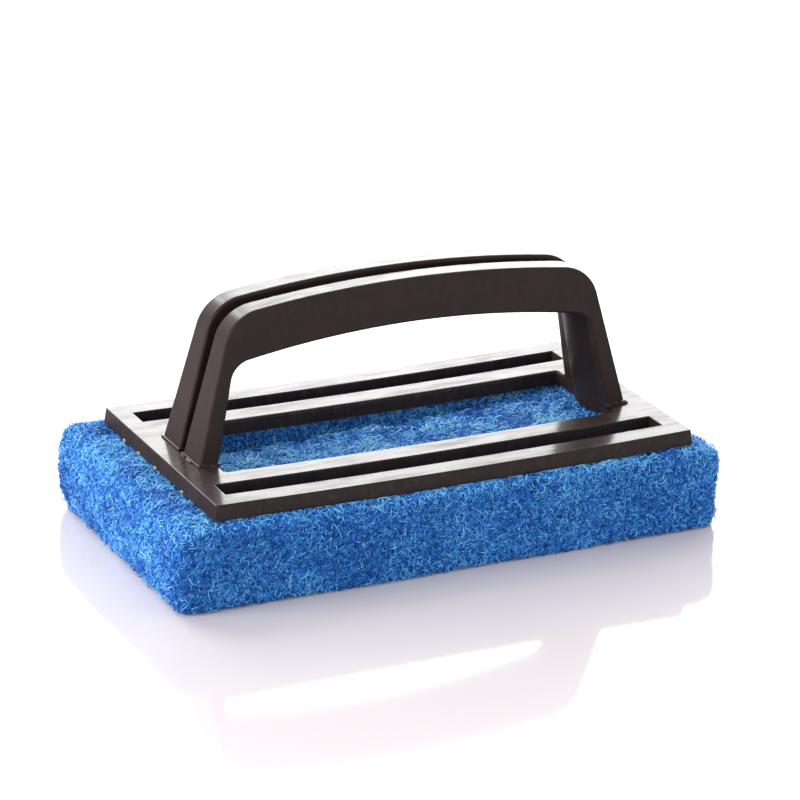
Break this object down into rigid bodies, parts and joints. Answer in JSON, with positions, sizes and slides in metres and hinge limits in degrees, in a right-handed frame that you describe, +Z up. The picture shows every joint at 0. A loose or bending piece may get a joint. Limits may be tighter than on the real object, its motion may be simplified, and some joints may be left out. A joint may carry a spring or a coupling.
{
  "type": "pool wall brush",
  "caption": "Pool wall brush: a black plastic frame with an arched handle, glued on a thick block of coarse blue scouring fibre.",
  "frame": {"origin": "middle of the scouring pad's flat underside, the working face", "axes": "+Z up from the pad's working face to the handle, +X along the pad's long side and along the handle's span, +Y across the handle"},
  "size_m": [0.15, 0.082, 0.0682],
  "materials": {
    "black_plastic": "glossy moulded polypropylene with faint flow marks",
    "blue_fibre": "coarse curly nylon fibre bonded with resin",
    "hot_melt": "translucent tan hot-melt glue"
  },
  "bodies": {
    "root": {"base_frame": "black_plastic", "handle": "black_plastic", "scouring_pad": "blue_fibre", "glue_front_rail": "hot_melt", "glue_rear_rail": "hot_melt", "glue_left_end": "hot_melt", "glue_right_end": "hot_melt"}
  },
  "joints": []
}
